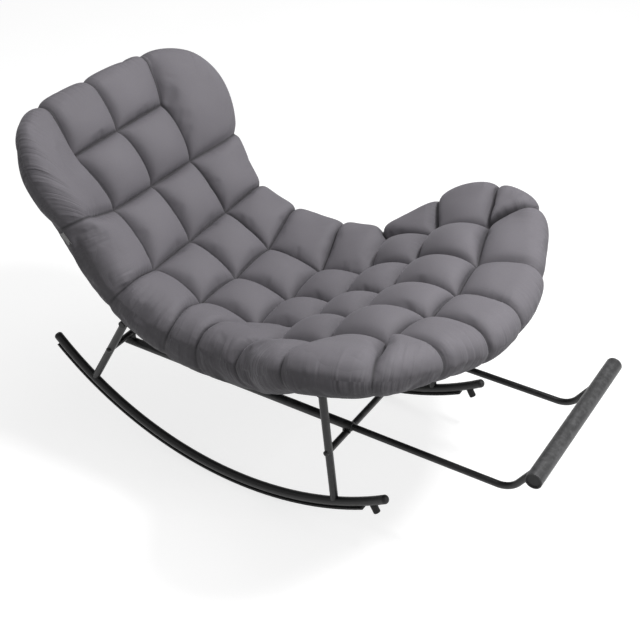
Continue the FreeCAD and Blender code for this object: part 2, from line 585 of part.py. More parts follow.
# ---------------------------------------------------------------- guide sleeves and foot bar
sleeves, liners, lugs_f, lugs_r = {}, [], [], []
for side, word in ((RIGHT, "right"), (LEFT, "left")):
    y = side * SLEEVE_Y
    sl = tube_between(V(SLEEVE_X0, y, SLEEVE_Z), V(SLEEVE_X1, y, SLEEVE_Z), SLEEVE_OD, SLEEVE_WALL)
    save(word + "_guide_sleeve", sl)
    ir = SLEEVE_OD / 2 - SLEEVE_WALL
    rr = ROD_OD / 2 + LINER_CLEAR
    # flanged liner in the sleeve's mouth
    liners.append(turned([(rr, -LINER_LEN), (ir, -LINER_LEN), (ir, 0), (SLEEVE_OD / 2, 0),
                          (SLEEVE_OD / 2, 1.6), ("arc", (SLEEVE_OD / 2 - 0.5, 2.6), (SLEEVE_OD / 2 - 1.6, 3.0)),
                          (rr, 3.0)], V(SLEEVE_X1, y, SLEEVE_Z), V(1, 0, 0)))
    full = Part.makeCylinder(SLEEVE_OD / 2, 700, V(SLEEVE_X0, y, SLEEVE_Z), V(1, 0, 0))
    # lug on the front crossbar, and hanger from the rear one
    cx, cz = FRONT_CROSS
    lug = Part.makeBox(20, 4, SLEEVE_Z - cz, V(cx - 10, y - 2, cz)).cut(full).cut(
        Part.makeCylinder(CROSS_OD / 2, 40, V(cx, y - 20, cz), V(0, 1, 0)))
    lugs_f.append(one(lug))
    cx, cz = REAR_CROSS
    lug = Part.makeBox(20, 4, cz - SLEEVE_Z, V(cx - 10, y - 2, SLEEVE_Z)).cut(full).cut(
        Part.makeCylinder(CROSS_OD / 2, 40, V(cx, y - 20, cz), V(0, 1, 0)))
    lugs_r.append(one(lug))
save("sleeve_liners", liners)
save("front_sleeve_lugs", lugs_f)
save("rear_sleeve_lugs", lugs_r)
# plugs in the rear ends of the sleeves
save("sleeve_end_plugs", [turned([(0, -12), (SLEEVE_OD / 2 - SLEEVE_WALL - 0.1, -12),
                                  (SLEEVE_OD / 2 - SLEEVE_WALL - 0.1, 0), (SLEEVE_OD / 2, 0), (SLEEVE_OD / 2, 1.6),
                                  ("arc", (SLEEVE_OD / 2 - 0.7, 2.7), (SLEEVE_OD / 2 - 2, 3.2)), (0, 3.4)],
                                 V(SLEEVE_X0, s * SLEEVE_Y, SLEEVE_Z), V(-1, 0, 0)) for s in (RIGHT, LEFT)])

bar_outer = Part.makeCylinder(BAR_OD / 2, BAR_LEN, V(BAR_X, -BAR_LEN / 2, BAR_Z), V(0, 1, 0))
glides = []
for side, word in ((RIGHT, "right"), (LEFT, "left")):
    y = side * SLEEVE_Y
    wire = path_wire([(ROD_X0, SLEEVE_Z), (ROD_X1, SLEEVE_Z), (BAR_X, BAR_Z)], [ROD_BEND_R], rail_place(y))
    outer, inner = swept(wire, ROD_OD / 2), swept(wire, ROD_OD / 2 - ROD_WALL)
    rod = one(outer.cut(inner).cut(bar_outer))
    print("rod", rod.isValid(), round(rod.Volume, 0))
    save(word + "_foot_rod", rod)
    # glide on the rod's rear end: it bears on the sleeve's bore and stops against the liner
    gr, rr = SLEEVE_OD / 2 - SLEEVE_WALL - 0.07, ROD_OD / 2
    g = turned([(0, -4), (gr - 1, -4), (gr, -3), (gr, 34.0), (rr + 0.0, 34.0), (rr, 0), (0, 0)],
               V(ROD_X0, y, SLEEVE_Z), V(1, 0, 0))
    glides.append(g)
save("rod_glides", glides)

bar = tube_between(V(BAR_X, -BAR_LEN / 2, BAR_Z), V(BAR_X, BAR_LEN / 2, BAR_Z), BAR_OD, BAR_WALL)
save("foot_bar", bar)
bar_caps = []
for side in (RIGHT, LEFT):
    r = BAR_OD / 2 - BAR_WALL
    bar_caps.append(turned([(0, -9), (r - 3, -9), (r - 3, -14), (r - 0.1, -14), (r - 0.1, -1.0), (r - 1.6, -1.0),
                            (r - 2.4, -2.2), (0, -2.2)], V(BAR_X, side * BAR_LEN / 2, BAR_Z), V(0, side, 0)))
save("foot_bar_caps", bar_caps)

# ---------------------------------------------------------------- cushion
STATIONS = [-31.4, -29.5, -25.5, -18.0, -6.0, 12.0, 36.0, 70.0, 110.0, 165.0, 219.0, 273.0, 352.0, 432.0, 512.0,
            592.0, 665.0, 738.0, 809.0, 880.0, 925.0, 965.0, 1005.0, 1047.0, 1100.0, 1155.0, 1209.0, 1250.0,
            1287.0, 1318.0, 1342.0, 1359.0, 1369.5, 1375.0, 1377.4]
NHALF = 15
_u = [0.975, 0.925, 0.86, 0.785, 0.71, 0.645, 0.59, 0.535, 0.48, 0.36, 0.18]
UNDER_ROWS = [-a for a in _u] + [0.0] + _u[::-1]
sections = []
for s in STATIONS:
    w = half_width(s)
    up, down = [], []
    for j in range(NHALF + 1):
        y = -w * math.cos(math.pi * j / NHALF)
        up.append(sheet_point(s, y, rim_heights(s, y, 0.0 if j in (0, NHALF) else rim_distance(s, y))[0]))
    for f in UNDER_ROWS:
        down.append(sheet_point(s, f * w, rim_heights(s, f * w, rim_distance(s, f * w))[1]))
    curve = Part.BSplineCurve()
    ring = up + down[::-1]
    curve.interpolate(Points=ring, PeriodicFlag=True, Parameters=[i / len(ring) for i in range(len(ring) + 1)])
    sections.append(Part.Wire([curve.toShape()]))
cushion = Part.makeLoft(sections, True, False, False, 5)
print("cushion", cushion.isValid(), round(cushion.Volume / 1e6, 3), "litres", cushion.BoundBox)
save("seat_cushion", cushion)

# plain sewn tag, caught in the seam low on the rim roll at the sitter's right
TAG_S, TAG_TURN = 246.0, 14.0            # place along the profile, and angle below the roll's widest line
def roll_point(s, deg, off):
    """A point off the sitter's right rim roll, deg below its widest line."""
    ro, w = RIM(s), half_width(s)
    d = ro * (1 - math.cos(math.radians(deg)))
    y = -(w - d)
    h = PUFF - ro - ro * math.sin(math.radians(deg)) + EDGE_LIFT(s) * min(max((abs(y) - 150) / 130, 0), 1.2) ** 1.5
    p = sheet_point(s, y, h)
    u = (p - sheet_point(s, y + ro * math.cos(math.radians(deg)), PUFF - ro)).normalize()
    return p + u * off


a, b = roll_point(TAG_S, TAG_TURN, 1.2), roll_point(TAG_S + 32, TAG_TURN, 1.2)
t = b.sub(a).normalize()
drop = (roll_point(TAG_S, TAG_TURN + 3, 1.2) - a).normalize()
nn = t.cross(drop).normalize()
tag = Part.Face(Part.makePolygon([a, b, b + drop * 14, a + drop * 14, a])).extrude(nn * 0.9)
save("side_tag", tag)
print("tag", tag.isValid(), round(tag.Volume, 1), a, b)

# ---------------------------------------------------------------- figures
TIE = []


def tie(p, q, frac, side):
    t = V(q[0] - p[0], 0, q[1] - p[1])
    length = t.Length
    t.normalize()
    n = V(-t.z, 0, t.x)
    c = V(p[0], side * RAIL_Y, p[1]) + t * (frac * length)
    ring = Part.makeCylinder(RAIL_OD / 2 + 1.6, 16, c - t * 8, t)
    return one(ring.cut(rail_outer["right" if side < 0 else "left"]))


for side in (RIGHT, LEFT):
    TIE += [tie(R[1], R[2], 0.385, side), tie(R[1], R[2], 0.625, side), tie(R[5], R[6], 0.335, side)]
save("cushion_ties", TIE)

DENS = {"seat_cushion": 300.0, "side_tag": 300.0, "cushion_ties": 300.0, "back_straps": 300.0, "seat_straps": 300.0,
        "front_straps": 300.0, "right_rocker_strip": 1200.0, "left_rocker_strip": 1200.0, "right_stop_peg": 1200.0,
        "left_stop_peg": 1200.0, "rocker_end_caps": 1100.0, "sleeve_liners": 1100.0, "rod_glides": 1100.0,
        "sleeve_end_plugs": 1100.0, "bearer_end_caps": 1100.0, "frame_end_caps": 1100.0, "foot_bar_caps": 1100.0,
        "crossbar_plugs": 1100.0}
M = X = Z = 0.0
for n, s in NODES.items():
    for so in s.Solids:
        m = so.Volume * DENS.get(n, 7850.0) * 1e-9
        c = so.CenterOfMass
        M, X, Z = M + m, X + m * c.x, Z + m * c.z
print("mass %.2f kg, centre x %.1f z %.1f, nodes %d" % (M, X / M, Z / M, len(NODES)))
cm = NODES["seat_cushion"].Solids[0].CenterOfMass
print("cushion centre", round(cm.x, 1), round(cm.z, 1))
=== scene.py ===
# Rocking chaise lounge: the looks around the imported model. Metres, +Z up, +X to the sitter's feet, +Y to the
# sitter's left. The cushion is built here as a tufted cover of puffed cells and takes the place of its CAD solid.
import json
import math
import bpy
import numpy as np
from mathutils import Matrix, Vector


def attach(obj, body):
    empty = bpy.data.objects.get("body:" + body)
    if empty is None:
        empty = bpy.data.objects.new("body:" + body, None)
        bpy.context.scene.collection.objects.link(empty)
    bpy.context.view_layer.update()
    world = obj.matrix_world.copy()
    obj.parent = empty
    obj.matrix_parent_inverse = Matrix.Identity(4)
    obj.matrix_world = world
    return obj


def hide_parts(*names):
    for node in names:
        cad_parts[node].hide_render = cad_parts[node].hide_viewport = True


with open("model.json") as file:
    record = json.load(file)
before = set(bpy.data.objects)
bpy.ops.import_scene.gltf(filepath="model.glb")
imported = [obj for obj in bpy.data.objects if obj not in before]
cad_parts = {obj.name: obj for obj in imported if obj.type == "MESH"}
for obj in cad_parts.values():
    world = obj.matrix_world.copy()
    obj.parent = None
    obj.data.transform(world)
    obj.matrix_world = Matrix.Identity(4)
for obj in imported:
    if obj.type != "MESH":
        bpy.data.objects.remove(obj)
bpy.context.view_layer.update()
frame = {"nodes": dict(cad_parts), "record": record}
scene = bpy.context.scene
RNG = np.random.default_rng(11)

# ---------------------------------------------------------------- the cushion's base surface, in millimetres
K = 250.0 / 240.0
PROFILE = np.array([(-548, 765), (-473, 690), (-383, 563), (-282, 448), (-144, 381), (-5, 364), (128, 394),
                    (268, 472), (416, 522), (545, 520)], float) * K
OUTLINE = [(-32.5, 0.0), (-32.5, 123.3), (-7.5, 246.6), (110.0, 345.8), (273.0, 315.8), (432.0, 298.4),
           (592.0, 307.4), (738.0, 316.2), (880.0, 345.2), (1047.0, 431.4), (1209.0, 417.4),
           (1339.1, 204.8), (1369.3, 108.0), (1378.5, 0.0)]
LATERAL = [(0, .000128), (110, .000223), (273, .000393), (592, .000543), (880, .000460), (1047, .000507),
           (1209, .000399), (1343.8, .000371)]
RIM_R = [(-60, 46.1), (300, 60.5), (700, 75.7), (1050, 49.5), (1450, 55.1)]
EDGE = [(-60, 35.8), (110, 24.1), (273, 10.6), (432, -3.0), (592, 10.0), (738, 22.0), (880, 2.1),
        (1047, -16.1), (1440, 30.2)]
UNDERS = [(0, 46.6), (110, 44.4), (273, 43.7), (432, 44.8), (592, 44.8), (738, 41.4), (880, 38.1), (960, 40.8),
          (1047, 44.0), (1209, 43.9), (1290, 44.6), (1343.8, 45.4)]
PUFF, RECESS, RAIL_Y = 45.5, 34.0, 150.0


class Spline:
    """Natural cubic spline, vectorised: value and slope."""

    def __init__(self, xs, ys):
        x, y = np.asarray(xs, float), np.asarray(ys, float)
        n = len(x)
        h = np.diff(x)
        a = np.eye(n)
        r = np.zeros(n)
        for i in range(1, n - 1):
            a[i, i - 1], a[i, i], a[i, i + 1] = h[i - 1], 2 * (h[i - 1] + h[i]), h[i]
            r[i] = 6 * ((y[i + 1] - y[i]) / h[i] - (y[i] - y[i - 1]) / h[i - 1])
        self.x, self.y, self.m = x, y, np.linalg.solve(a, r)

    def __call__(self, t):
        t = np.asarray(t, float)
        x, y, m = self.x, self.y, self.m
        i = np.clip(np.searchsorted(x, t, side="left") - 1, 0, len(x) - 2)
        h = x[i + 1] - x[i]
        p, q = (x[i + 1] - t) / h, (t - x[i]) / h
        v = p * y[i] + q * y[i + 1] + ((p ** 3 - p) * m[i] + (q ** 3 - q) * m[i + 1]) * h * h / 6
        g = (y[i + 1] - y[i]) / h - (3 * p * p - 1) / 6 * h * m[i] + (3 * q * q - 1) / 6 * h * m[i + 1]
        return v, g


class Pchip:
    """Shape-keeping cubic interpolation, vectorised."""

    def __init__(self, pts):
        x, y = np.array([p[0] for p in pts], float), np.array([p[1] for p in pts], float)
        h = np.diff(x)
        k = np.diff(y) / h
        d = np.zeros(len(x))
        for i in range(1, len(x) - 1):
            if k[i - 1] * k[i] > 0:
                w1, w2 = 2 * h[i] + h[i - 1], h[i] + 2 * h[i - 1]
                d[i] = (w1 + w2) / (w1 / k[i - 1] + w2 / k[i])

        def end(h0, h1, k0, k1):
            e = ((2 * h0 + h1) * k0 - h0 * k1) / (h0 + h1)
            if e * k0 <= 0:
                return 0.0
            if k0 * k1 <= 0 and abs(e) > 3 * abs(k0):
                return 3 * k0
            return e
        d[0], d[-1] = end(h[0], h[1], k[0], k[1]), end(h[-1], h[-2], k[-1], k[-2])
        self.x, self.y, self.d = x, y, d

    def __call__(self, t):
        x, y, d = self.x, self.y, self.d
        t = np.clip(np.asarray(t, float), x[0], x[-1])
        i = np.clip(np.searchsorted(x, t, side="left") - 1, 0, len(x) - 2)
        h = x[i + 1] - x[i]
        u = (t - x[i]) / h
        return ((1 + 2 * u) * (1 - u) ** 2 * y[i] + u * (1 - u) ** 2 * h * d[i]
                + u * u * (3 - 2 * u) * y[i + 1] + u * u * (u - 1) * h * d[i + 1])


ARC = np.concatenate([[0], np.cumsum(np.hypot(*np.diff(PROFILE, axis=0).T))])
S_END = ARC[-1]
PX, PZ = Spline(ARC, PROFILE[:, 0]), Spline(ARC, PROFILE[:, 1])
KLAT = Pchip([(a, b / K) for a, b in LATERAL])
UNDER = Pchip(UNDERS)
RIM, EDGE_LIFT = Pchip(RIM_R), Pchip(EDGE)

_o = [(s, -y) for s, y in OUTLINE[4:0:-1]] + OUTLINE + [(s, -y) for s, y in OUTLINE[-2:-6:-1]]
_t = np.concatenate([[0], np.cumsum(np.hypot(*np.diff(np.array(_o), axis=0).T))])
_os, _oy = Spline(_t, [q[0] for q in _o]), Spline(_t, [q[1] for q in _o])
_ta, _tb = _t[4], _t[4 + len(OUTLINE) - 1]


def rim_point(t):
    """Point of the half outline, t from 0 at the head to 1 at the foot."""
    q = _ta + (_tb - _ta) * np.asarray(t, float)
    return np.stack([_os(q)[0], _oy(q)[0]], -1)


HALF = rim_point(np.linspace(0, 1, 401))
HALF[0, 1] = HALF[-1, 1] = 0.0
FULL = np.vstack([HALF, HALF[-2:0:-1] * [1, -1]])          # closed loop


def rim_distance(p):
    """Distance in the sheet to the outline, and the unit vector towards it."""
    a, b = FULL, np.roll(FULL, -1, 0)
    e = b - a
    ll = (e ** 2).sum(1)
    d = np.empty(len(p))
    g = np.empty((len(p), 2))
    nrm = np.stack([e[:, 1], -e[:, 0]], 1) / np.sqrt(ll)[:, None]
    if nrm[200] @ (FULL[200] - FULL.mean(0)) < 0:
        nrm = -nrm
    for c in range(0, len(p), 2000):
        q = p[c:c + 2000]
        t = np.clip(((q[:, None] - a[None]) * e[None]).sum(2) / ll[None], 0, 1)
        f = a[None] + t[..., None] * e[None] - q[:, None]
        m = (f ** 2).sum(2)
        i = m.argmin(1)
        r = np.arange(len(q))
        d[c:c + 2000] = np.sqrt(m[r, i])
        v = f[r, i]
        far = d[c:c + 2000] > 0.5
        g[c:c + 2000] = np.where(far[:, None], v / np.maximum(d[c:c + 2000], 1e-9)[:, None], nrm[i])
    return d, g


def base(s, y):
    """Point of the tuft surface with its unit tangents and normal."""
    sc = np.clip(s, 0, S_END)
    x, dx = PX(sc)
    z, dz = PZ(sc)
    n = np.hypot(dx, dz)
    tx, tz = dx / n, dz / n
    x, z = x + tx * (s - sc), z + tz * (s - sc)
    k = KLAT(sc)
    slope = 2 * k * y
    c = 1 / np.sqrt(1 + slope ** 2)
    rise = k * y * y
    o = np.zeros_like(x)
    b = np.stack([x - tz * rise, y + o, z + tx * rise], -1)
    es = np.stack([tx, o, tz], -1)
    ey = np.stack([-tz * slope * c, c + o, tx * slope * c], -1)
    nb = np.stack([-tz * c, -slope * c, tx * c], -1)
    return b, es, ey, nb


def envelope(p, below=False, d=None, g=None):
    """The smooth outer envelope over sheet points p: position, outward normal, distance to the rim."""
    if d is None:
        d, g = rim_distance(p)
    s, y = p[:, 0], p[:, 1]
    b, es, ey, nb = base(s, y)
    ro = RIM(s)
    q = np.clip(d / ro, 0, 1)
    sn = np.sqrt(np.clip(1 - (1 - q) ** 2, 0, 1))
    c = sn * ro
    lift = EDGE_LIFT(s) * np.clip((np.abs(y) - 150) / 130, 0, 1.2) ** 1.5
    out = es * g[:, :1] + ey * g[:, 1:]
    if not below:
        h = PUFF - ro + c + lift
        nn = out * (1 - q)[:, None] + nb * sn[:, None]
    else:
        r = np.clip((d - ro) / RECESS, 0, 1)
        r = r * r * (3 - 2 * r)
        su = np.clip(s, 0, S_END)
        flat = UNDER(su) - KLAT(su) * np.maximum(0, RAIL_Y ** 2 - y * y)
        h = PUFF - ro - c + lift + (2 * ro - PUFF - flat - lift) * r
        nn = out * (1 - q)[:, None] - nb * sn[:, None]
    nn /= np.linalg.norm(nn, axis=1)[:, None]
    return b + nb * h[:, None], nn, d, ro


# ---------------------------------------------------------------- the net of tufts, creases and edge seams
# Sheet coordinates (along the profile, across) of the tufts; the second set is the sitter's right (y negative).
D_TUFT, D_MID, D_RIM, D_SEAM = 44.0, 35.0, 5.0, 19.0
BUMP = 12.0
NODES = {
    "R1c": (111, -3), "R2c": (268, 0), "R3c": (435, 0), "R4c": (588, 0), "R5c": (750, 0), "R6c": (900, 0),
    "R7c": (1049, 0), "R8c": (1219, 8),
    "R1l": (111, 165), "R2l": (267, 151), "R3l": (430, 150), "R4l": (586, 146), "R5l": (751, 144),
    "R6l": (914, 132), "R6ol": (888, 280), "R7l": (1050, 139), "R7ol": (1036, 274), "R8l": (1207, 136),
    "R8ol": (1164, 300),
    "R1r": (113, -170), "R2r": (267, -150), "R3r": (442, -161), "R4r": (587, -148), "R5r": (751, -144),
    "R6r": (906, -135), "R6or": (900, -268), "R7r": (1050, -139), "R7or": (1052, -262), "R8r": (1213, -110),
    "R8or": (1188, -242),
}
RIM_T = {
    "Tc": (0.0, 1), "T1l": (0.100, 1), "T2l": (0.284, 1), "T3l": (0.365, 1), "T4l": (0.430, 1), "T5l": (0.516, 1),
    "T6l": (0.573, 1), "T7l": (0.664, 1), "T8sl": (0.734, 1), "T8fl": (0.797, 1), "T9l": (0.910, 1),
    "Fc": (1.0, 1),
    "T1r": (0.080, -1), "T2r": (0.268, -1), "T3r": (0.370, -1), "T4r": (0.455, -1), "T5r": (0.500, -1),
    "T6r": (0.566, -1), "T7r": (0.700, -1), "T8sr": (0.788, -1), "T8fr": (0.868, -1), "T9r": (0.933, -1),
}
for _k, (_t0, _sg) in RIM_T.items():
    NODES[_k] = tuple(rim_point(_t0) * [1, _sg])

V_S, V_Y, V_O, N_OUT, N_LOBE = [], 20, 16, 38, 22       # grid counts along creases


def outward(a, b, n):
    """Points from a tuft to a rim point, evenly spaced over the roll's surface."""
    a, b = np.array(a, float), np.array(b, float)
    L = np.hypot(*(b - a))
    ro = float(RIM(0.4 * a[0] + 0.6 * b[0])) * 1.02
    flat = max(L - ro, 0.0)
    th0 = math.asin(max(0.0, 1 - L / ro)) if L < ro else 0.0
    total = flat + ro * (math.pi / 2 - th0)
    arc = np.linspace(0, total, n + 1)
    d = np.where(arc < flat, L - arc, ro * (1 - np.sin(np.clip(th0 + (arc - flat) / ro, 0, math.pi / 2))))
    f = 1 - d / L
    f[0], f[-1] = 0, 1
    return a + (b - a) * f[:, None], f


class Net:
    def __init__(self):
        self.p, self.below, self.depth, self.kind = [], [], [], []
        self.node_id, self.edges, self.quads, self.hard, self.cellinfo = {}, {}, [], set(), []
        self.pull, self.cells = [], 0

    def vert(self, p, below, depth, kind, cell=(0.0, 0.0)):
        self.p.append(p)
        self.below.append(below)
        self.depth.append(depth)
        self.kind.append(kind)
        self.cellinfo.append(cell)
        return len(self.p) - 1

    def node(self, name, below):
        rim = name in RIM_T
        key = (name, False if rim else below)
        if key not in self.node_id:
            dep = D_RIM if rim else (5.0 if below else D_TUFT)
            self.node_id[key] = self.vert(NODES[name], False if rim else below, dep, 2 if rim else 1)
        return self.node_id[key]


net = Net()
SIDE_PROFILE = 2.0


def wall(x):
    """1 at a crease falling to 0 where the cell is full: a steep rounded pillow edge."""
    x = np.clip(x, 0, 1)
    return 1 - np.clip(1 - (1 - x) ** SIDE_PROFILE, 0, 1) ** 0.5


def groove(x):
    """Like wall, but a narrow groove in a fuller roll."""
    x = np.clip(x, 0, 1)
    return 1 - np.clip(1 - (1 - x) ** 5.0, 0, 1) ** 0.6


def make_edge(a, b, n, kind, below):
    """kind: crease between tufts, seam from a tuft to the rim, rim along the outline."""
    key = (a, b, False if kind == "rim" else below)
    if key in net.edges:
        return net.edges[key]
    rev = (b, a, key[2])
    if rev in net.edges:
        e = net.edges[rev]
        return {"ids": e["ids"][::-1], "p": e["p"][::-1], "D": e["D"][::-1], "f": (1 - e["f"])[::-1]}
    t = np.linspace(0, 1, n + 1)
    if kind == "rim":
        (ta, sa), (tb, sb) = RIM_T[a], RIM_T[b]
        sg = sb if abs(sb) and b not in ("Tc", "Fc") else sa
        if a not in ("Tc", "Fc"):
            sg = sa
        # even spacing along the outline
        q = np.linspace(ta, tb, 200)
        pts = rim_point(q)
        arc = np.concatenate([[0], np.cumsum(np.hypot(*np.diff(pts, axis=0).T))])
        tt = np.interp(t * arc[-1], arc, q)
        p = rim_point(tt) * [1, sg]
        D = D_RIM * (groove(2 * t) + groove(2 * (1 - t)))
        f = t
    elif kind == "seam":
        p, f = outward(NODES[a], NODES[b], n)
        if below:
            D = 2.0 + (D_RIM - 2.0) * np.clip((f - 0.35) / 0.65, 0, 1) ** 1.2
            D[0] = 5.0
        else:
            D = D_SEAM + (D_TUFT - D_SEAM) * (1 - t) ** 2.2 + (D_RIM - D_SEAM) * t ** 3
    else:
        A, B = np.array(NODES[a], float), np.array(NODES[b], float)
        p = A + (B - A) * t[:, None]
        f = t
        if below:
            D = 1.5 + 3.5 * np.abs(2 * t - 1) ** 6
        else:
            D = D_MID + (D_TUFT - D_MID) * np.abs(2 * t - 1) ** 2.6
    ids = [net.node(a, below)]
    for i in range(1, n):
        ids.append(net.vert(p[i], False if kind == "rim" else below, D[i], 2 if kind == "rim" else 1))
    ids.append(net.node(b, below))
    if kind != "rim" and not below:
        for i in range(n):
            net.hard.add((ids[i], ids[i + 1]))
    e = {"ids": ids, "p": p, "D": D, "f": f}
    net.edges[key] = e
    return e


def join(e1, e2):
    w = len(e1["ids"]) - 1
    return {"ids": e1["ids"] + e2["ids"][1:], "p": np.vstack([e1["p"], e2["p"][1:]]),
            "D": np.concatenate([e1["D"], e2["D"][1:]]), "f": None}


def patch(left, right, inner, outer, kind, below):
    """left, right run from inner to outer; inner, outer run from left to right. kind: cell or edge."""
    nv, nu = len(left["ids"]) - 1, len(inner["ids"]) - 1
    assert len(right["ids"]) - 1 == nv and len(outer["ids"]) - 1 == nu, (nv, nu, kind)
    u, v = np.linspace(0, 1, nu + 1), np.linspace(0, 1, nv + 1)
    if kind == "edge":
        fs = [e["f"] for e in (left, right) if e["f"] is not None]
        fv = np.mean(fs, axis=0)
    else:
        fv = v
    L, R, B, T = left["p"], right["p"], inner["p"], outer["p"]
    U, F = u[None, :, None], fv[:, None, None]
    P = ((1 - U) * L[:, None] + U * R[:, None] + (1 - F) * B[None] + F * T[None]
         - ((1 - U) * (1 - F) * L[0] + U * (1 - F) * R[0] + (1 - U) * F * L[-1] + U * F * R[-1]))
    hv = 0.36 if kind == "edge" else 0.5
    wl, wr = wall(2 * u)[None], wall(2 * (1 - u))[None]
    if kind == "edge":
        s_ = np.clip((fv - 0.15) / 0.6, 0, 1)[:, None]
        s_ = s_ * s_ * (3 - 2 * s_)
        wl = wl * (1 - s_) + groove(2 * u)[None] * s_
        wr = wr * (1 - s_) + groove(2 * (1 - u))[None] * s_
    wb = wall(v / hv)
    wt = wall((1 - v) / 0.5) if kind == "cell" else 0 * v
    a = left["D"][:, None] * wl + right["D"][:, None] * wr
    b = inner["D"][None] * wb[:, None] + (outer["D"][None] * wt[:, None] if kind == "cell" else 0)
    cor = (left["D"][0] * wl * wb[:, None] + right["D"][0] * wr * wb[:, None])
    if kind == "cell":
        cor = cor + left["D"][-1] * wl * wt[:, None] + right["D"][-1] * wr * wt[:, None]
    dep = a + b - cor
    if not below:
        full = (1 - np.maximum(wl, wr)) * (1 - np.maximum(wb, wt))[:, None]
        dep = dep - BUMP * full * (0.3 if kind == "edge" else 1.0)
    # how far each point lies from the creases either side of it, and how far along them, in mm
    lu = np.concatenate([np.zeros((nv + 1, 1)), np.cumsum(np.hypot(*np.moveaxis(np.diff(P, axis=1), 2, 0)), 1)], 1)
    lv = np.concatenate([np.zeros((1, nu + 1)), np.cumsum(np.hypot(*np.moveaxis(np.diff(P, axis=0), 2, 0)), 0)], 0)
    if kind == "edge":
        ro = float(RIM(float(P[:, :, 0].mean())))
        lv = lv + np.where(F[:, :, 0] > 0.5, 0.9 * ro * (F[:, :, 0] - 0.5), 0)
    du = np.minimum(lu, lu[:, -1:] - lu)
    dv = lv if kind == "edge" else np.minimum(lv, lv[-1:] - lv)
    dr = lv[-1:] - lv if kind == "edge" else np.full_like(lv, 400.0)
    net.cells += 1
    ids = [[0] * (nu + 1) for _ in range(nv + 1)]
    for i in range(nv + 1):
        ids[i][0], ids[i][nu] = left["ids"][i], right["ids"][i]
    for j in range(nu + 1):
        ids[0][j], ids[nv][j] = inner["ids"][j], outer["ids"][j]
    for i in range(1, nv):
        for j in range(1, nu):
            ids[i][j] = net.vert(P[i, j], below, dep[i, j], 0, (min(2 * u[j], 2 - 2 * u[j]), v[i]))
    for i in range(nv):
        for j in range(nu):
            q = [ids[i][j], ids[i][j + 1], ids[i + 1][j + 1], ids[i + 1][j]]
            qi = [(i, j), (i, j + 1), (i + 1, j + 1), (i + 1, j)]
            keep = [k for k in range(4) if q[k] != q[k - 1]]
            q2 = [q[k] for k in keep]
            c2 = [(lu[qi[k]], lv[qi[k]], du[qi[k]], dv[qi[k]], dr[qi[k]], float(net.cells)) for k in keep]
            # winding: seen from outside
            pq = [np.array(net.p[x]) for x in q2]
            ar = sum(pq[k - 1][0] * pq[k][1] - pq[k][0] * pq[k - 1][1] for k in range(len(pq)))
            flip = (ar < 0) != below
            net.quads.append(q2[::-1] if flip else q2)
            net.pull.append(c2[::-1] if flip else c2)


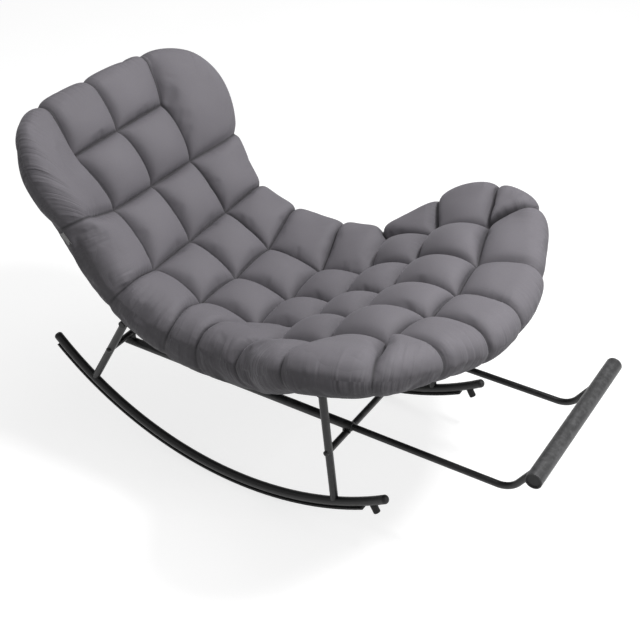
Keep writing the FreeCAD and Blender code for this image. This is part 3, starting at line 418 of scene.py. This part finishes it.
def build_net(below):
    E = lambda a, b, n, k: make_edge(a, b, n, k, below)
    rows = ["R1", "R2", "R3", "R4", "R5", "R6", "R7", "R8"]
    ns = [20, 20, 20, 20, 20, 20, 20]
    nl = N_LOBE
    for x in "lr":
        # cells of the middle columns
        for i in range(7):
            a, b = rows[i], rows[i + 1]
            patch(E(a + "c", b + "c", ns[i], "crease"), E(a + x, b + x, ns[i], "crease"),
                  E(a + "c", a + x, V_Y, "crease"), E(b + "c", b + x, V_Y, "crease"), "cell", below)
        # top edge, and the corner cell
        patch(E("R1c", "Tc", N_OUT, "seam"), E("R1" + x, "T1" + x, N_OUT, "seam"),
              E("R1c", "R1" + x, V_Y, "crease"), E("Tc", "T1" + x, V_Y, "rim"), "edge", below)
        patch(E("R1" + x, "T1" + x, N_OUT, "seam"), E("R2" + x, "T2" + x, N_OUT, "seam"),
              E("R1" + x, "R2" + x, ns[0], "crease"), E("T1" + x, "T2" + x, ns[0], "rim"), "edge", below)
        # side edge cells
        for i in (1, 2, 3):
            a, b = str(i + 1), str(i + 2)
            patch(E("R" + a + x, "T" + a + x, N_OUT, "seam"), E("R" + b + x, "T" + b + x, N_OUT, "seam"),
                  E("R" + a + x, "R" + b + x, ns[i], "crease"), E("T" + a + x, "T" + b + x, ns[i], "rim"),
                  "edge", below)
        e6 = join(E("R6" + x, "R6o" + x, V_O, "crease"), E("R6o" + x, "T6" + x, nl, "seam"))
        patch(E("R5" + x, "T5" + x, N_OUT, "seam"), e6, E("R5" + x, "R6" + x, ns[4], "crease"),
              E("T5" + x, "T6" + x, ns[4], "rim"), "edge", below)
        # outer column of the foot lobe
        for a, b, n in (("R6", "R7", ns[5]), ("R7", "R8", ns[6])):
            patch(E(a + x, b + x, n, "crease"), E(a + "o" + x, b + "o" + x, n, "crease"),
                  E(a + x, a + "o" + x, V_O, "crease"), E(b + x, b + "o" + x, V_O, "crease"), "cell", below)
        patch(E("R6o" + x, "T6" + x, nl, "seam"), E("R7o" + x, "T7" + x, nl, "seam"),
              E("R6o" + x, "R7o" + x, ns[5], "crease"), E("T6" + x, "T7" + x, ns[5], "rim"), "edge", below)
        patch(E("R7o" + x, "T7" + x, nl, "seam"), E("R8o" + x, "T8s" + x, nl, "seam"),
              E("R7o" + x, "R8o" + x, ns[6], "crease"), E("T7" + x, "T8s" + x, ns[6], "rim"), "edge", below)
        # corner wedge: all of its inner edge is one tuft
        nw = 16
        tip = net.node("R8o" + x, below)
        tp = np.array(NODES["R8o" + x], float)
        inner = {"ids": [tip] * (nw + 1), "p": np.repeat(tp[None], nw + 1, 0),
                 "D": np.full(nw + 1, net.depth[tip]), "f": None}
        patch(E("R8o" + x, "T8s" + x, nl, "seam"), E("R8o" + x, "T8f" + x, nl, "seam"), inner,
              E("T8s" + x, "T8f" + x, nw, "rim"), "edge", below)
        # front edge cells
        patch(E("R8" + x, "T9" + x, nl, "seam"), E("R8o" + x, "T8f" + x, nl, "seam"),
              E("R8" + x, "R8o" + x, V_O, "crease"), E("T9" + x, "T8f" + x, V_O, "rim"), "edge", below)
        patch(E("R8c", "Fc", nl, "seam"), E("R8" + x, "T9" + x, nl, "seam"),
              E("R8c", "R8" + x, V_Y, "crease"), E("Fc", "T9" + x, V_Y, "rim"), "edge", below)


build_net(False)
build_net(True)
SP = np.array(net.p, float)
BELOW = np.array(net.below, bool)
DEPTH = np.array(net.depth, float)
KIND = np.array(net.kind)
RD, RG = rim_distance(SP)
ENV = np.zeros((len(SP), 3))
NRM = np.zeros((len(SP), 3))
for flag in (False, True):
    m = BELOW == flag
    ENV[m], NRM[m], _, _ = envelope(SP[m], flag, RD[m], RG[m])
RO = RIM(SP[:, 0])
# the roll sinks a little beside the first tuft at the sitter's right
DEPTH = DEPTH + np.where(BELOW, 0.0, 21.0 * np.exp(-((SP - np.array([122.0, -228.0])) ** 2).sum(1) / 72.0 ** 2))
# the seam stays full where the tag is sewn in
TAG_AT = np.array([262.0, -319.0])
DEPTH = DEPTH * (1 - 0.95 * np.exp(-((SP - TAG_AT) ** 2).sum(1) / 32.0 ** 2) * (RD < 60))
CO = ENV - NRM * DEPTH[:, None]
print("cushion net", len(SP), "points", len(net.quads), "faces")


# ---------------------------------------------------------------- the cover as a mesh, blown up as cloth
MM = 0.001
REST = CO * MM


def cushion_mesh(name, co):
    me = bpy.data.meshes.new(name)
    me.from_pydata([tuple(c) for c in co], [], net.quads)
    me.update()
    return me


def edge_creases(me, value=0.85):
    keys = {}
    for e in me.edges:
        keys[tuple(sorted(e.vertices))] = e.index
    att = me.attributes.get("crease_edge") or me.attributes.new("crease_edge", "FLOAT", "EDGE")
    vals = np.zeros(len(me.edges), np.float32)
    for a, b in net.hard:
        i = keys.get((min(a, b), max(a, b)))
        if i is not None:
            vals[i] = value
    att.data.foreach_set("value", vals)


def inflate(co):
    """Cloth under pressure, held at the tufts, the creases and the underside; the cells fill and pucker."""
    me = cushion_mesh("cover_sim", co)
    ob = bpy.data.objects.new("cover_sim", me)
    scene.collection.objects.link(ob)
    hold = np.zeros(len(co))
    hold[(KIND == 1) & ~BELOW] = 1.0                                    # creases and seams on the top
    hold[BELOW] = np.clip((RD[BELOW] / RO[BELOW] - 0.45) / 0.3, 0, 1)   # underside
    hold[BELOW & (KIND == 1) & (RD < 0.9 * RO)] = 1.0
    vg = ob.vertex_groups.new(name="hold")
    for w in np.unique(np.round(hold, 2)):
        if w > 0:
            vg.add([int(i) for i in np.nonzero(np.round(hold, 2) == w)[0]], float(w), "REPLACE")
    mod = ob.modifiers.new("Cloth", "CLOTH")
    s = mod.settings
    s.quality = 6
    s.mass = 0.25
    s.tension_stiffness = 22
    s.compression_stiffness = 14
    s.shear_stiffness = 6
    s.bending_stiffness = 2.0
    s.tension_damping = s.compression_damping = s.shear_damping = 8
    s.bending_damping = 0.5
    s.air_damping = 2
    s.vertex_group_mass = "hold"
    s.pin_stiffness = 1.0
    s.use_pressure = True
    s.uniform_pressure_force = PRESSURE
    s.shrink_min = SHRINK
    s.effector_weights.gravity = 0
    mod.collision_settings.use_collision = False
    mod.collision_settings.use_self_collision = False
    mod.point_cache.frame_start, mod.point_cache.frame_end = 1, FRAMES
    for f in range(1, FRAMES + 1):
        scene.frame_set(f)
    dg = bpy.context.evaluated_depsgraph_get()
    ev = ob.evaluated_get(dg)
    out = np.zeros(len(co) * 3)
    ev.data.vertices.foreach_get("co", out)
    out = out.reshape(-1, 3)
    scene.frame_set(1)
    bpy.data.objects.remove(ob)
    return out


PRESSURE, SHRINK, FRAMES, CAP = 4.0, -0.012, 20, 0.012
moved = inflate(REST)
step = moved - REST
length = np.linalg.norm(step, axis=1)
print("cloth moved: mean %.1f mm, most %.1f mm, bad %d" % (length.mean() * 1e3, np.nanmax(length) * 1e3,
                                                       int(np.isnan(length).sum())))
lim = np.minimum(1.0, CAP / np.maximum(length, 1e-9))
COVER = REST + step * lim[:, None]

cover_me = cushion_mesh("seat_cover", COVER)
edge_creases(cover_me)
uv = cover_me.uv_layers.new(name="sheet")
loops = np.zeros(len(cover_me.loops), np.int32)
cover_me.loops.foreach_get("vertex_index", loops)
uv.data.foreach_set("uv", (SP[loops] * MM).astype(np.float32).ravel())
att = cover_me.attributes.new("under", "FLOAT", "POINT")
att.data.foreach_set("value", np.where(BELOW, np.clip(RD / RO, 0, 3), -np.clip(RD / RO, 0, 3)).astype(np.float32))
pull = np.array([c for q in net.pull for c in q], float)
for nm, cols in (("gather_a", (0, 1, 5)), ("gather_b", (2, 3, 4))):
    at = cover_me.attributes.new(nm, "FLOAT_VECTOR", "CORNER")
    at.data.foreach_set("vector", (pull[:, cols] * [MM, MM, 1.0 if nm == "gather_a" else MM]).astype(np.float32).ravel())
cover = bpy.data.objects.new("seat_cover", cover_me)
scene.collection.objects.link(cover)
sub = cover.modifiers.new("Subdivision", "SUBSURF")
sub.levels = sub.render_levels = 1
sub.subdivision_type = "CATMULL_CLARK"
dg = bpy.context.evaluated_depsgraph_get()
fine = bpy.data.meshes.new_from_object(cover.evaluated_get(dg), preserve_all_data_layers=True, depsgraph=dg)
cover.modifiers.clear()
cover.data = fine
fine.name = "seat_cover"
fine.shade_smooth()


# ---------------------------------------------------------------- materials
class Mat:
    """A node material built up step by step."""

    def __init__(self, name):
        self.m = bpy.data.materials.new(name)
        self.m.use_nodes = True
        self.t = self.m.node_tree
        self.t.nodes.clear()
        self.out = self.t.nodes.new("ShaderNodeOutputMaterial")
        self.b = self.t.nodes.new("ShaderNodeBsdfPrincipled")
        self.t.links.new(self.b.outputs[0], self.out.inputs["Surface"])

    def node(self, kind, **kw):
        n = self.t.nodes.new(kind)
        for k, v in kw.items():
            setattr(n, k, v)
        return n

    def link(self, a, b):
        self.t.links.new(a, b)

    def noise(self, vec, scale, detail=3.0, rough=0.5, dist=0.0):
        n = self.node("ShaderNodeTexNoise")
        n.inputs["Scale"].default_value = scale
        n.inputs["Detail"].default_value = detail
        n.inputs["Roughness"].default_value = rough
        n.inputs["Distortion"].default_value = dist
        self.link(vec, n.inputs["Vector"])
        return n.outputs["Fac"]

    def ramp(self, fac, stops):
        r = self.node("ShaderNodeValToRGB")
        e = r.color_ramp.elements
        while len(e) < len(stops):
            e.new(0.5)
        for x, (p, c) in zip(e, stops):
            x.position = p
            x.color = (*c, 1) if len(c) == 3 else c
        self.link(fac, r.inputs["Fac"])
        return r.outputs["Color"]

    def math(self, op, a, b=None, clamp=False):
        n = self.node("ShaderNodeMath", operation=op)
        n.use_clamp = clamp
        for i, v in enumerate((a, b)):
            if v is None:
                continue
            if isinstance(v, (int, float)):
                n.inputs[i].default_value = v
            else:
                self.link(v, n.inputs[i])
        return n.outputs[0]

    def mix(self, fac, a, b, blend="MIX"):
        n = self.node("ShaderNodeMix", data_type="RGBA", blend_type=blend)
        for s, v in ((n.inputs["Factor"], fac), (n.inputs[6], a), (n.inputs[7], b)):
            if isinstance(v, (int, float)):
                s.default_value = v
            elif isinstance(v, tuple):
                s.default_value = (*v, 1) if len(v) == 3 else v
            else:
                self.link(v, s)
        return n.outputs[2]

    def range(self, v, a, b, c, d):
        n = self.node("ShaderNodeMapRange")
        self.link(v, n.inputs["Value"])
        for k, x in zip(("From Min", "From Max", "To Min", "To Max"), (a, b, c, d)):
            n.inputs[k].default_value = x
        return n.outputs["Result"]

    def bump(self, h, strength, dist, normal=None):
        n = self.node("ShaderNodeBump")
        n.inputs["Strength"].default_value = strength
        n.inputs["Distance"].default_value = dist
        self.link(h, n.inputs["Height"])
        if normal is not None:
            self.link(normal, n.inputs["Normal"])
        return n.outputs["Normal"]


def painted(name, colour, rough, grain=900.0, wear=0.0):
    """Satin powder coat: fine orange peel, slight gloss changes, rubbed edges a touch lighter."""
    m = Mat(name)
    o = m.node("ShaderNodeTexCoord").outputs["Object"]
    big = m.noise(o, 9.0, 4.0, 0.55)
    mid = m.noise(o, 70.0, 3.0, 0.6)
    fine_ = m.noise(o, grain, 2.0, 0.5)
    c = m.mix(m.range(big, 0.3, 0.7, 0.0, 1.0), tuple(x * 0.86 for x in colour), tuple(x * 1.14 for x in colour))
    c = m.mix(m.range(fine_, 0.62, 0.8, 0.0, 0.35), c, tuple(min(1, x * 2.2) for x in colour))
    geo = m.node("ShaderNodeNewGeometry").outputs["Pointiness"]
    edge = m.math("MULTIPLY", m.range(geo, 0.52, 0.6, 0.0, 1.0), m.range(mid, 0.45, 0.7, 0.0, 1.0), True)
    c = m.mix(m.math("MULTIPLY", edge, wear), c, tuple(min(1, x * 4 + 0.02) for x in colour))
    m.link(c, m.b.inputs["Base Color"])
    r = m.math("ADD", m.range(mid, 0.3, 0.7, rough - 0.05, rough + 0.06), m.range(big, 0.3, 0.7, -0.03, 0.03))
    m.link(r, m.b.inputs["Roughness"])
    m.b.inputs["Metallic"].default_value = 0.0
    m.b.inputs["Specular IOR Level"].default_value = 0.42
    m.b.inputs["Coat Weight"].default_value = 0.06
    m.b.inputs["Coat Roughness"].default_value = 0.3
    m.link(m.bump(fine_, 0.18, 0.0004, m.bump(mid, 0.08, 0.0008)), m.b.inputs["Normal"])
    return m.m


def moulded(name, colour, rough, scale=420.0, strength=0.25):
    """Moulded rubber or plastic with a fine spark texture and dust in it."""
    m = Mat(name)
    o = m.node("ShaderNodeTexCoord").outputs["Object"]
    big = m.noise(o, 14.0, 4.0, 0.6)
    fine_ = m.noise(o, scale, 4.0, 0.65)
    c = m.mix(m.range(big, 0.35, 0.7, 0.0, 1.0), tuple(x * 0.8 for x in colour), tuple(x * 1.25 for x in colour))
    c = m.mix(m.range(fine_, 0.6, 0.8, 0.0, 0.4), c, tuple(min(1, x * 2.6) for x in colour))
    m.link(c, m.b.inputs["Base Color"])
    m.link(m.range(fine_, 0.3, 0.7, rough - 0.08, rough + 0.08), m.b.inputs["Roughness"])
    m.b.inputs["Specular IOR Level"].default_value = 0.35
    m.link(m.bump(fine_, strength, 0.0006), m.b.inputs["Normal"])
    return m.m


def woven(name, colour, pitch=0.0022):
    """Flat woven webbing: rows of picks across, ribs along."""
    m = Mat(name)
    o = m.node("ShaderNodeTexCoord").outputs["Object"]
    w1 = m.node("ShaderNodeTexWave", wave_type="BANDS", bands_direction="Y")
    w2 = m.node("ShaderNodeTexWave", wave_type="BANDS", bands_direction="DIAGONAL")
    for w, k in ((w1, 1 / pitch / 6.28 * 2), (w2, 1 / pitch / 6.28 * 2)):
        w.inputs["Scale"].default_value = k
        w.inputs["Distortion"].default_value = 0.6
        w.inputs["Detail"].default_value = 1.0
        m.link(o, w.inputs["Vector"])
    h = m.math("MULTIPLY", w1.outputs["Fac"], w2.outputs["Fac"])
    big = m.noise(o, 20.0, 3.0, 0.5)
    c = m.mix(m.range(big, 0.3, 0.7, 0, 1), tuple(x * 0.75 for x in colour), tuple(x * 1.3 for x in colour))
    c = m.mix(h, tuple(x * 0.5 for x in colour), c)
    m.link(c, m.b.inputs["Base Color"])
    m.b.inputs["Roughness"].default_value = 0.85
    m.b.inputs["Sheen Weight"].default_value = 0.15
    m.link(m.bump(h, 0.6, 0.0006), m.b.inputs["Normal"])
    return m.m


def cushion_fabric(name, colour, under_shade_colour):
    """Brushed polyester: fine close weave, soft sheen, faint random tone changes; painted shade in the creases and on
    the lower half of the roll.
    """
    m = Mat(name)
    uvn = m.node("ShaderNodeUVMap", uv_map="sheet").outputs["UV"]
    o = m.node("ShaderNodeTexCoord").outputs["Object"]
    big = m.noise(o, 5.0, 3.0, 0.5)
    mid = m.noise(o, 34.0, 4.0, 0.6, 0.3)
    nap = m.noise(o, 260.0, 4.0, 0.6)
    w1 = m.node("ShaderNodeTexWave", wave_type="BANDS", bands_direction="X")
    w2 = m.node("ShaderNodeTexWave", wave_type="BANDS", bands_direction="Y")
    for w in (w1, w2):
        w.inputs["Scale"].default_value = 330.0
        w.inputs["Distortion"].default_value = 1.2
        w.inputs["Detail"].default_value = 1.0
        w.inputs["Detail Scale"].default_value = 2.0
        m.link(uvn, w.inputs["Vector"])
    weave = m.math("ADD", w1.outputs["Fac"], w2.outputs["Fac"])
    lo, hi = tuple(x * 0.93 for x in colour), tuple(x * 1.07 for x in colour)
    c = m.mix(m.range(big, 0.3, 0.7, 0, 1), lo, hi)
    c = m.mix(m.range(mid, 0.35, 0.75, 0, 0.35), c, tuple(x * 1.1 for x in colour))
    c = m.mix(m.range(nap, 0.3, 0.7, 0.0, 0.22), c, tuple(x * 0.82 for x in colour))
    c = m.mix(m.range(weave, 0.2, 1.6, 0.14, 0.0), c, tuple(x * 0.6 for x in colour))
    ga = m.node("ShaderNodeSeparateXYZ")
    gb = m.node("ShaderNodeSeparateXYZ")
    m.link(m.node("ShaderNodeAttribute", attribute_name="gather_a", attribute_type="GEOMETRY").outputs["Vector"], ga.inputs[0])
    m.link(m.node("ShaderNodeAttribute", attribute_name="gather_b", attribute_type="GEOMETRY").outputs["Vector"], gb.inputs[0])
    u, v, cell = ga.outputs
    du, dv, dr = gb.outputs
    # painted shade: a thin dark line and a wider soft darkening along the creases stand in for shadow down in the
    # grooves, and the lower half of the roll is darkened towards the underside as painted shade
    near = m.math("MINIMUM", du, dv)
    crease_shade_line = m.range(near, 0.0006, 0.0060, 0.85, 0.0)
    crease_shade_soft = m.range(near, 0.0, 0.022, 0.22, 0.0)
    a = m.node("ShaderNodeAttribute", attribute_name="under", attribute_type="GEOMETRY").outputs["Fac"]
    topside = m.range(a, 0.0, 0.35, 1.0, 0.0)
    # painted shade: the thin crease line and the soft band beside it darken the top side only
    c = m.mix(m.math("MULTIPLY", crease_shade_line, topside), c, tuple(x * 0.12 for x in colour))
    c = m.mix(m.math("MULTIPLY", crease_shade_soft, topside), c, tuple(x * 0.35 for x in colour))
    shade = m.math("POWER", m.range(a, -0.35, 0.45, 0.0, 1.0), 1.4)
    # painted shade: towards the underside the colour blends into the darker under-shade colour
    c = m.mix(shade, c, m.mix(m.range(nap, 0.3, 0.7, 0, 1), tuple(x * 0.8 for x in under_shade_colour), tuple(x * 1.2 for x in under_shade_colour)))
    m.link(c, m.b.inputs["Base Color"])
    r = m.range(mid, 0.3, 0.7, 0.66, 0.78)
    m.link(r, m.b.inputs["Roughness"])
    m.b.inputs["Specular IOR Level"].default_value = 0.35
    m.b.inputs["Sheen Weight"].default_value = 0.10
    m.b.inputs["Sheen Roughness"].default_value = 0.45
    m.b.inputs["Sheen Tint"].default_value = (0.9, 0.88, 0.95, 1)
    n = m.bump(mid, 0.08, 0.004)
    # fine folds pulled in at right angles to the seams: strongest beside them, gone by the middle of a cell
    def folds(along, across, far, width, strength, scale, normal, height):
        vec = m.node("ShaderNodeCombineXYZ")
        m.link(m.math("MULTIPLY", along, scale), vec.inputs[0])
        m.link(m.math("MULTIPLY", across, scale * 0.10), vec.inputs[1])
        m.link(m.math("MULTIPLY", cell, 3.7), vec.inputs[2])
        f = m.noise(vec.outputs[0], 1.0, 2.0, 0.45, 0.35)
        w = m.range(far, 0.0, width, 1.0, 0.0)
        w = m.math("MULTIPLY", w, w)
        patchy = m.range(m.noise(o, 11.0, 2.0, 0.5), 0.38, 0.62, 0.25, 1.0)
        return m.bump(m.math("MULTIPLY", f, m.math("MULTIPLY", w, patchy)), strength, height, normal)

    n = folds(v, u, du, 0.045, 0.45, 80.0, n, 0.007)
    n = folds(u, v, dv, 0.045, 0.45, 80.0, n, 0.007)
    n = folds(u, v, dr, 0.110, 1.0, 62.0, n, 0.011)
    n = m.bump(nap, 0.12, 0.0008, n)
    n = m.bump(weave, 0.15, 0.0004, n)
    m.link(n, m.b.inputs["Normal"])
    return m.m


UNDER_LINE = 0.55
MATS = {
    "frame_black": painted("frame_black", (0.010, 0.010, 0.0105), 0.38, wear=0.3),
    "bar_black": painted("bar_black", (0.032, 0.032, 0.033), 0.46, grain=1300.0, wear=0.3),
    "bolt_black": painted("bolt_black", (0.020, 0.020, 0.020), 0.36, grain=1500.0, wear=0.8),
    "rubber_black": moulded("rubber_black", (0.012, 0.012, 0.012), 0.68),
    "plastic_black": moulded("plastic_black", (0.016, 0.016, 0.017), 0.5, 600.0, 0.15),
    "webbing": woven("webbing", (0.03, 0.03, 0.032)),
    # the second cushion colour is the painted shade colour for the underside
    "cushion_fabric": cushion_fabric("cushion_fabric", (0.146, 0.138, 0.153), (0.050, 0.048, 0.053)),
    "tag_white": woven("tag_white", (0.93, 0.93, 0.92), 0.0009),
}
SLOT_OF = {s["node"]: s["material_slot"] for s in frame["record"]["subparts"]}
for node_name, ob in frame["nodes"].items():
    ob.data.materials.clear()
    ob.data.materials.append(MATS[SLOT_OF[node_name]])

fine.materials.clear()
fine.materials.append(MATS["cushion_fabric"])
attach(cover, "chair")
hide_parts("seat_cushion")


# ---------------------------------------------------------------- floor, light and camera
def floor_material():
    m = Mat("studio_floor")
    o = m.node("ShaderNodeTexCoord").outputs["Object"]
    n = m.noise(o, 1.3, 3.0, 0.5)
    c = m.mix(m.range(n, 0.3, 0.7, 0, 1), (0.40, 0.40, 0.40), (0.42, 0.42, 0.42))
    m.link(c, m.b.inputs["Base Color"])
    m.link(m.mix(m.range(n, 0.3, 0.7, 0, 1), (0.99, 0.99, 0.99), (1.0, 1.0, 1.0)), m.b.inputs["Emission Color"])
    m.b.inputs["Emission Strength"].default_value = 0.73
    m.b.inputs["Roughness"].default_value = 0.9
    m.b.inputs["Specular IOR Level"].default_value = 0.1
    return m.m


fme = bpy.data.meshes.new("studio_floor")
fme.from_pydata([(-9, -9, -0.0004), (9, -9, -0.0004), (9, 9, -0.0004), (-9, 9, -0.0004)], [], [(0, 1, 2, 3)])
floor = bpy.data.objects.new("studio_floor", fme)
fme.materials.append(floor_material())
scene.collection.objects.link(floor)
floor.visible_diffuse = False

world = bpy.data.worlds.new("studio") if scene.world is None else scene.world
scene.world = world
world.use_nodes = True
wt = world.node_tree
wt.nodes.clear()
w_out = wt.nodes.new("ShaderNodeOutputWorld")
bg = wt.nodes.new("ShaderNodeBackground")
wt.links.new(bg.outputs[0], w_out.inputs["Surface"])
# a pale ceiling over a darker floor level
w_co = wt.nodes.new("ShaderNodeTexCoord")
w_sep = wt.nodes.new("ShaderNodeSeparateXYZ")
w_map = wt.nodes.new("ShaderNodeMapRange")
wt.links.new(w_co.outputs["Generated"], w_sep.inputs[0])
wt.links.new(w_sep.outputs["Z"], w_map.inputs["Value"])
for _n, _v in (("From Min", -0.12), ("From Max", 0.02), ("To Min", 0.05), ("To Max", 0.40)):
    w_map.inputs[_n].default_value = _v
wt.links.new(w_map.outputs["Result"], bg.inputs["Color"])
bg.inputs["Strength"].default_value = 1.0


def area(name, place, target, size, power, colour=(1, 1, 1)):
    l = bpy.data.lights.new(name, "AREA")
    l.shape = "RECTANGLE"
    l.size, l.size_y = size
    l.energy = power
    l.color = colour
    o = bpy.data.objects.new(name, l)
    o.location = place
    o.rotation_euler = (Vector(target) - Vector(place)).to_track_quat("-Z", "Y").to_euler()
    scene.collection.objects.link(o)
    return o


area("key_light", (1.45, 0.45, 3.2), (0, 0, 0.2), (0.5, 0.5), 62)
area("ceiling_light", (0.3, 0.9, 3.4), (0, 0, 0.3), (2.2, 2.2), 26)
area("front_light", (3.1, 0.2, 1.9), (-0.3, 0, 0.5), (1.8, 1.4), 40)

F_PX, DIST, AZ, EL, ROLL = 1191.742, 2.86567, 0.553316, 0.606015, 0.0007
TARGET = Vector((0.09202, 0.0, 0.36779))
back = Vector((math.sin(AZ) * math.cos(EL), -math.cos(AZ) * math.cos(EL), math.sin(EL)))
right = Vector((math.cos(AZ), math.sin(AZ), 0))
up = back.cross(right)
cam = bpy.data.cameras.new("camera")
cam.sensor_fit = "HORIZONTAL"
cam.sensor_width = 36.0
cam.lens = F_PX / 640.0 * 36.0
cam.clip_start, cam.clip_end = 0.1, 60
cam_ob = bpy.data.objects.new("camera", cam)
scene.collection.objects.link(cam_ob)
m3 = Matrix((right, up, back)).transposed()
cam_ob.matrix_world = Matrix.Translation(TARGET + back * DIST) @ m3.to_4x4()
scene.camera = cam_ob
scene.view_settings.view_transform = "Standard"
scene.view_settings.look = "None"
scene.view_settings.exposure = 0.0
